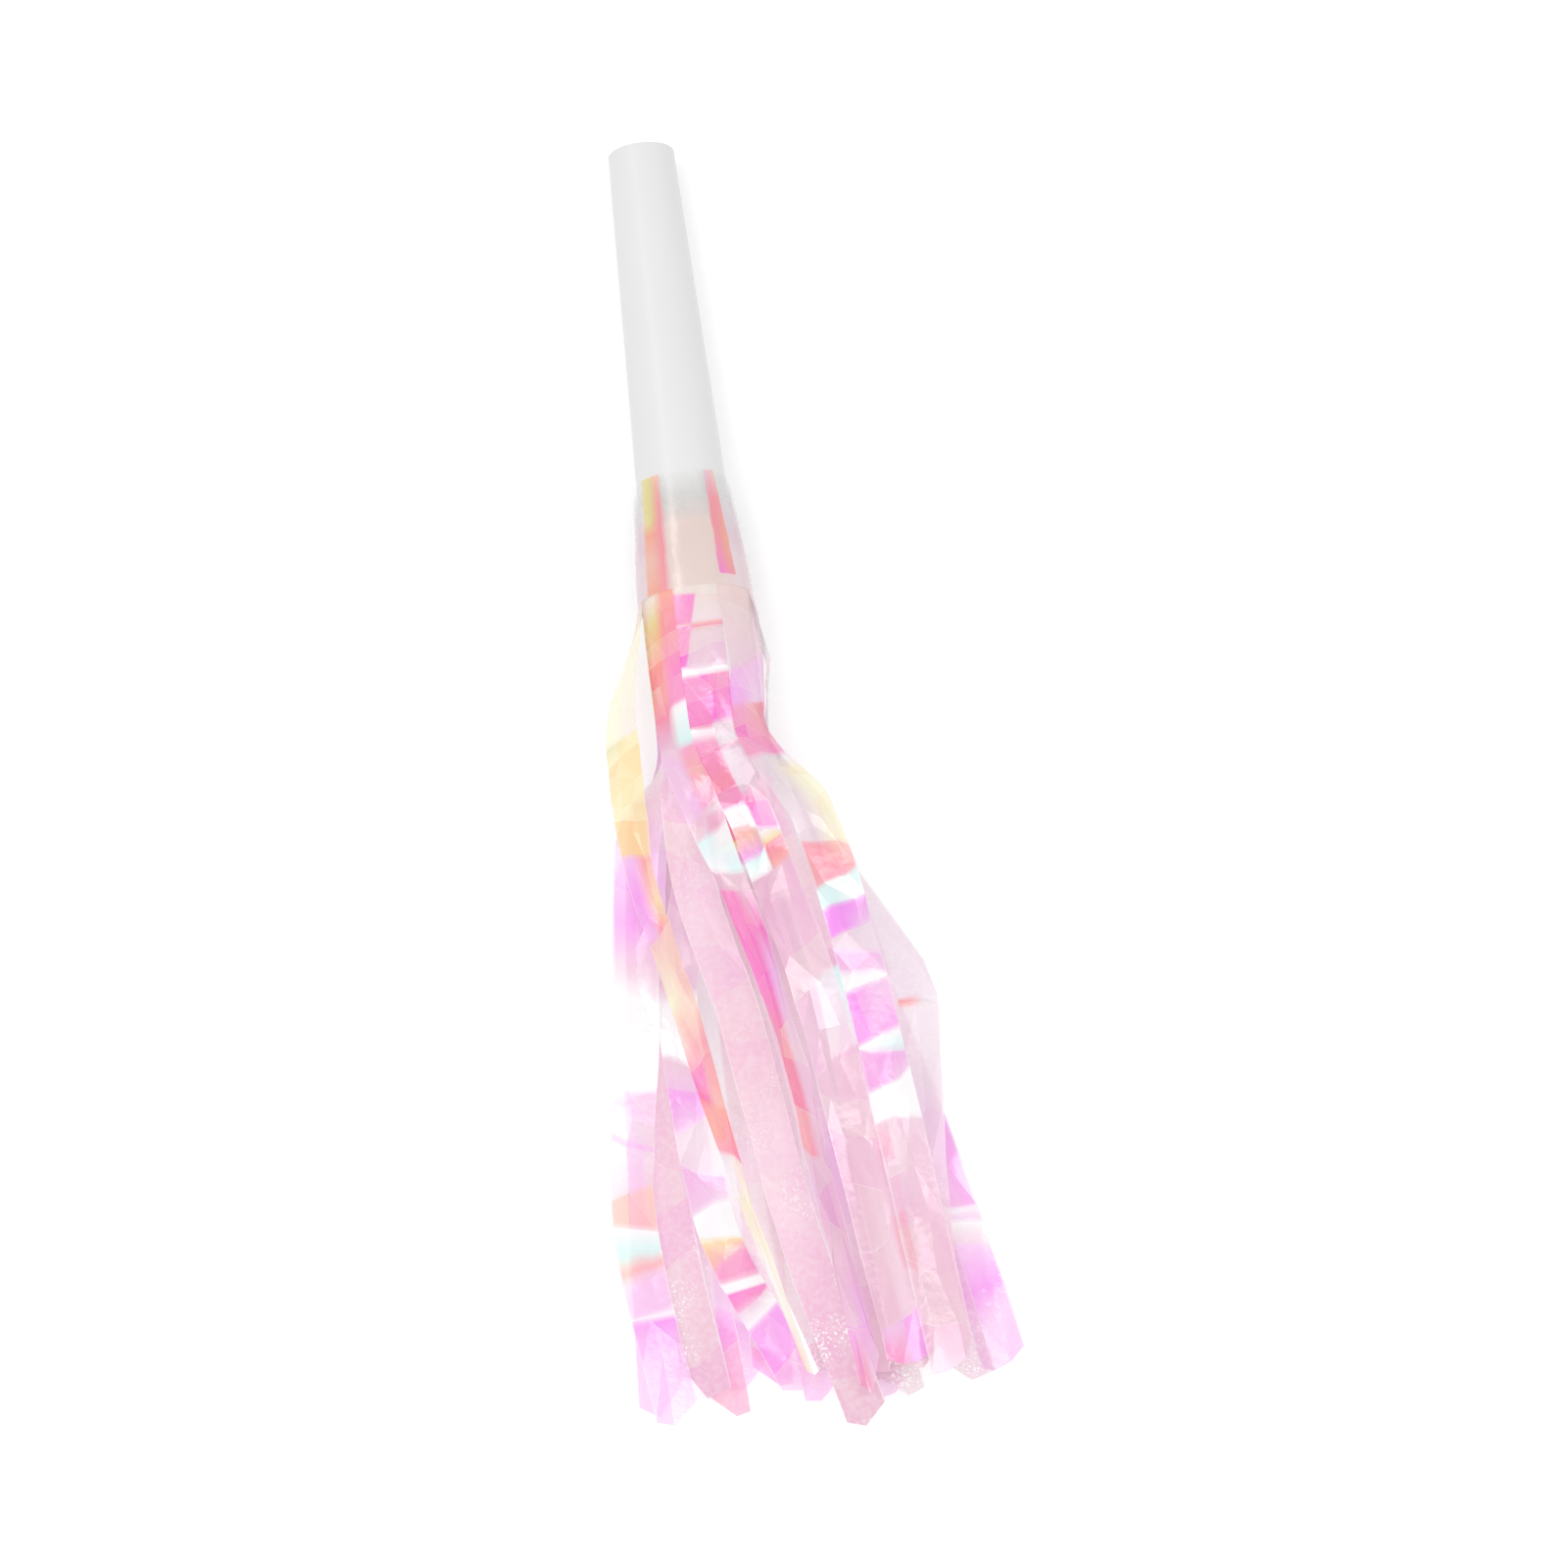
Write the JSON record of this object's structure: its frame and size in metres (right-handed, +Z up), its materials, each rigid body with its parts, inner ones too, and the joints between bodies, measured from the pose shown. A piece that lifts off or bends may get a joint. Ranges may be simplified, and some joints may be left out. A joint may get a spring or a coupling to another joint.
{
  "type": "party horn",
  "caption": "Tapered plastic party horn with a reed in its mouth end and a slit, iridescent film fringe round its bell.",
  "frame": {"origin": "on the table under the middle of the whole horn's box, as it lies", "axes": "+Y along the horn towards its mouth, +X to the right seen from above with the mouth away, +Z up"},
  "size_m": [0.0756, 0.262, 0.0228],
  "materials": {
    "tube_plastic": "satin moulded",
    "reed_plastic": "satin moulded",
    "tongue_film": "clear sheet",
    "iridescent_film": "clear film with pink, lilac and yellow interference colours"
  },
  "bodies": {
    "horn": {"horn_tube": "tube_plastic", "reed_plug": "reed_plastic", "reed_wedge": "reed_plastic", "film_wrap_inner": "iridescent_film", "film_wrap_middle": "iridescent_film", "film_wrap_outer": "iridescent_film"},
    "reed_tongue": {"reed_tongue": "tongue_film"},
    "inner_strip_1": {"inner_strip_1": "iridescent_film"},
    "inner_strip_2": {"inner_strip_2": "iridescent_film"},
    "inner_strip_3": {"inner_strip_3": "iridescent_film"},
    "inner_strip_4": {"inner_strip_4": "iridescent_film"},
    "inner_strip_5": {"inner_strip_5": "iridescent_film"},
    "inner_strip_6": {"inner_strip_6": "iridescent_film"},
    "inner_strip_7": {"inner_strip_7": "iridescent_film"},
    "inner_strip_8": {"inner_strip_8": "iridescent_film"},
    "middle_strip_1": {"middle_strip_1": "iridescent_film"},
    "middle_strip_2": {"middle_strip_2": "iridescent_film"},
    "middle_strip_3": {"middle_strip_3": "iridescent_film"},
    "middle_strip_4": {"middle_strip_4": "iridescent_film"},
    "middle_strip_5": {"middle_strip_5": "iridescent_film"},
    "middle_strip_6": {"middle_strip_6": "iridescent_film"},
    "middle_strip_7": {"middle_strip_7": "iridescent_film"},
    "middle_strip_8": {"middle_strip_8": "iridescent_film"},
    "outer_strip_1": {"outer_strip_1": "iridescent_film"},
    "outer_strip_2": {"outer_strip_2": "iridescent_film"},
    "outer_strip_3": {"outer_strip_3": "iridescent_film"},
    "outer_strip_4": {"outer_strip_4": "iridescent_film"},
    "outer_strip_5": {"outer_strip_5": "iridescent_film"},
    "outer_strip_6": {"outer_strip_6": "iridescent_film"},
    "outer_strip_7": {"outer_strip_7": "iridescent_film"},
    "outer_strip_8": {"outer_strip_8": "iridescent_film"}
  },
  "joints": [
    {"name": "reed_tongue_beat", "type": "hinge", "parent": "horn", "child": "reed_tongue", "pos_m": [-0.00902, 0.11375, 0.00763], "axis": [-1, 0, 0], "range_deg": [0, 2.8], "stiffness_Nm_per_rad": 0.001},
    {"name": "inner_strip_1_flex", "type": "hinge", "parent": "horn", "child": "inner_strip_1", "pos_m": [-0.01894, 0.03724, 0.0114], "axis": [0, -0.0523, -0.9986], "range_deg": [0, 17.55], "stiffness_Nm_per_rad": 0.0002},
    {"name": "inner_strip_2_flex", "type": "hinge", "parent": "horn", "child": "inner_strip_2", "pos_m": [-0.01603, 0.03761, 0.01841], "axis": [-0.7071, -0.037, -0.7061], "range_deg": [0, 17.55], "stiffness_Nm_per_rad": 0.0002},
    {"name": "inner_strip_3_flex", "type": "hinge", "parent": "horn", "child": "inner_strip_3", "pos_m": [-0.00902, 0.03776, 0.02131], "axis": [-1, 0, 0], "range_deg": [0, 17.55], "stiffness_Nm_per_rad": 0.0002},
    {"name": "inner_strip_4_flex", "type": "hinge", "parent": "horn", "child": "inner_strip_4", "pos_m": [-0.002, 0.03761, 0.01841], "axis": [-0.7071, 0.037, 0.7061], "range_deg": [0, 17.55], "stiffness_Nm_per_rad": 0.0002},
    {"name": "inner_strip_5_flex", "type": "hinge", "parent": "horn", "child": "inner_strip_5", "pos_m": [0.00091, 0.03724, 0.0114], "axis": [0, 0.0523, 0.9986], "range_deg": [0, 17.55], "stiffness_Nm_per_rad": 0.0002},
    {"name": "inner_strip_6_flex", "type": "hinge", "parent": "horn", "child": "inner_strip_6", "pos_m": [-0.002, 0.03687, 0.00439], "axis": [-1, 0, 0], "range_deg": [0, 2.15], "stiffness_Nm_per_rad": 0.0002},
    {"name": "inner_strip_7_flex", "type": "hinge", "parent": "horn", "child": "inner_strip_7", "pos_m": [-0.00902, 0.03672, 0.00149], "axis": [-1, 0, 0], "range_deg": [0, 2.15], "stiffness_Nm_per_rad": 0.0002},
    {"name": "inner_strip_8_flex", "type": "hinge", "parent": "horn", "child": "inner_strip_8", "pos_m": [-0.01603, 0.03687, 0.00439], "axis": [-1, 0, 0], "range_deg": [0, 2.15], "stiffness_Nm_per_rad": 0.0002},
    {"name": "middle_strip_1_flex", "type": "hinge", "parent": "horn", "child": "middle_strip_1", "pos_m": [-0.01964, 0.03724, 0.0114], "axis": [0, -0.0523, -0.9986], "range_deg": [0, 26.3], "stiffness_Nm_per_rad": 0.0002},
    {"name": "middle_strip_2_flex", "type": "hinge", "parent": "horn", "child": "middle_strip_2", "pos_m": [-0.01653, 0.03763, 0.0189], "axis": [-0.7071, -0.037, -0.7061], "range_deg": [0, 26.3], "stiffness_Nm_per_rad": 0.0002},
    {"name": "middle_strip_3_flex", "type": "hinge", "parent": "horn", "child": "middle_strip_3", "pos_m": [-0.00902, 0.0378, 0.02201], "axis": [-1, 0, 0], "range_deg": [0, 26.3], "stiffness_Nm_per_rad": 0.0002},
    {"name": "middle_strip_4_flex", "type": "hinge", "parent": "horn", "child": "middle_strip_4", "pos_m": [-0.0015, 0.03763, 0.0189], "axis": [-0.7071, 0.037, 0.7061], "range_deg": [0, 26.3], "stiffness_Nm_per_rad": 0.0002},
    {"name": "middle_strip_5_flex", "type": "hinge", "parent": "horn", "child": "middle_strip_5", "pos_m": [0.00161, 0.03724, 0.0114], "axis": [0, 0.0523, 0.9986], "range_deg": [0, 26.3], "stiffness_Nm_per_rad": 0.0002},
    {"name": "middle_strip_6_flex", "type": "hinge", "parent": "horn", "child": "middle_strip_6", "pos_m": [-0.0015, 0.03685, 0.0039], "axis": [-1, 0, 0], "range_deg": [0, 1.62], "stiffness_Nm_per_rad": 0.0002},
    {"name": "middle_strip_7_flex", "type": "hinge", "parent": "horn", "child": "middle_strip_7", "pos_m": [-0.00902, 0.03669, 0.00079], "axis": [-1, 0, 0], "range_deg": [0, 1.62], "stiffness_Nm_per_rad": 0.0002},
    {"name": "middle_strip_8_flex", "type": "hinge", "parent": "horn", "child": "middle_strip_8", "pos_m": [-0.01653, 0.03685, 0.0039], "axis": [-1, 0, 0], "range_deg": [0, 1.62], "stiffness_Nm_per_rad": 0.0002},
    {"name": "outer_strip_1_flex", "type": "hinge", "parent": "horn", "child": "outer_strip_1", "pos_m": [-0.02034, 0.03724, 0.0114], "axis": [0, -0.0523, -0.9986], "range_deg": [0, 35.05], "stiffness_Nm_per_rad": 0.0002},
    {"name": "outer_strip_2_flex", "type": "hinge", "parent": "horn", "child": "outer_strip_2", "pos_m": [-0.01702, 0.03766, 0.01939], "axis": [-0.7071, -0.037, -0.7061], "range_deg": [0, 35.05], "stiffness_Nm_per_rad": 0.0002},
    {"name": "outer_strip_3_flex", "type": "hinge", "parent": "horn", "child": "outer_strip_3", "pos_m": [-0.00902, 0.03783, 0.02271], "axis": [-1, 0, 0], "range_deg": [0, 35], "stiffness_Nm_per_rad": 0.0002},
    {"name": "outer_strip_4_flex", "type": "hinge", "parent": "horn", "child": "outer_strip_4", "pos_m": [-0.00101, 0.03766, 0.01939], "axis": [-0.7071, 0.037, 0.7061], "range_deg": [0, 35.05], "stiffness_Nm_per_rad": 0.0002},
    {"name": "outer_strip_5_flex", "type": "hinge", "parent": "horn", "child": "outer_strip_5", "pos_m": [0.00231, 0.03724, 0.0114], "axis": [0, 0.0523, 0.9986], "range_deg": [0, 35.05], "stiffness_Nm_per_rad": 0.0002},
    {"name": "outer_strip_6_flex", "type": "hinge", "parent": "horn", "child": "outer_strip_6", "pos_m": [-0.00101, 0.03682, 0.0034], "axis": [-1, 0, 0], "range_deg": [0, 1.1], "stiffness_Nm_per_rad": 0.0002},
    {"name": "outer_strip_7_flex", "type": "hinge", "parent": "horn", "child": "outer_strip_7", "pos_m": [-0.00902, 0.03665, 0.00009], "axis": [-1, 0, 0], "range_deg": [0, 1.1], "stiffness_Nm_per_rad": 0.0002},
    {"name": "outer_strip_8_flex", "type": "hinge", "parent": "horn", "child": "outer_strip_8", "pos_m": [-0.01702, 0.03682, 0.0034], "axis": [-1, 0, 0], "range_deg": [0, 1.1], "stiffness_Nm_per_rad": 0.0002}
  ],
  "couplings": [
    {"joint": "inner_strip_1_flex", "follows": "outer_strip_3_flex", "ratio": 0.5},
    {"joint": "inner_strip_2_flex", "follows": "outer_strip_3_flex", "ratio": 0.5},
    {"joint": "inner_strip_3_flex", "follows": "outer_strip_3_flex", "ratio": 0.5},
    {"joint": "inner_strip_4_flex", "follows": "outer_strip_3_flex", "ratio": 0.5},
    {"joint": "inner_strip_5_flex", "follows": "outer_strip_3_flex", "ratio": 0.5},
    {"joint": "inner_strip_6_flex", "follows": "outer_strip_3_flex", "ratio": 0.06},
    {"joint": "inner_strip_7_flex", "follows": "outer_strip_3_flex", "ratio": 0.06},
    {"joint": "inner_strip_8_flex", "follows": "outer_strip_3_flex", "ratio": 0.06},
    {"joint": "middle_strip_1_flex", "follows": "outer_strip_3_flex", "ratio": 0.75},
    {"joint": "middle_strip_2_flex", "follows": "outer_strip_3_flex", "ratio": 0.75},
    {"joint": "middle_strip_3_flex", "follows": "outer_strip_3_flex", "ratio": 0.75},
    {"joint": "middle_strip_4_flex", "follows": "outer_strip_3_flex", "ratio": 0.75},
    {"joint": "middle_strip_5_flex", "follows": "outer_strip_3_flex", "ratio": 0.75},
    {"joint": "middle_strip_6_flex", "follows": "outer_strip_3_flex", "ratio": 0.045},
    {"joint": "middle_strip_7_flex", "follows": "outer_strip_3_flex", "ratio": 0.045},
    {"joint": "middle_strip_8_flex", "follows": "outer_strip_3_flex", "ratio": 0.045},
    {"joint": "outer_strip_1_flex", "follows": "outer_strip_3_flex", "ratio": 1},
    {"joint": "outer_strip_2_flex", "follows": "outer_strip_3_flex", "ratio": 1},
    {"joint": "outer_strip_4_flex", "follows": "outer_strip_3_flex", "ratio": 1},
    {"joint": "outer_strip_5_flex", "follows": "outer_strip_3_flex", "ratio": 1},
    {"joint": "outer_strip_6_flex", "follows": "outer_strip_3_flex", "ratio": 0.03},
    {"joint": "outer_strip_7_flex", "follows": "outer_strip_3_flex", "ratio": 0.03},
    {"joint": "outer_strip_8_flex", "follows": "outer_strip_3_flex", "ratio": 0.03}
  ]
}
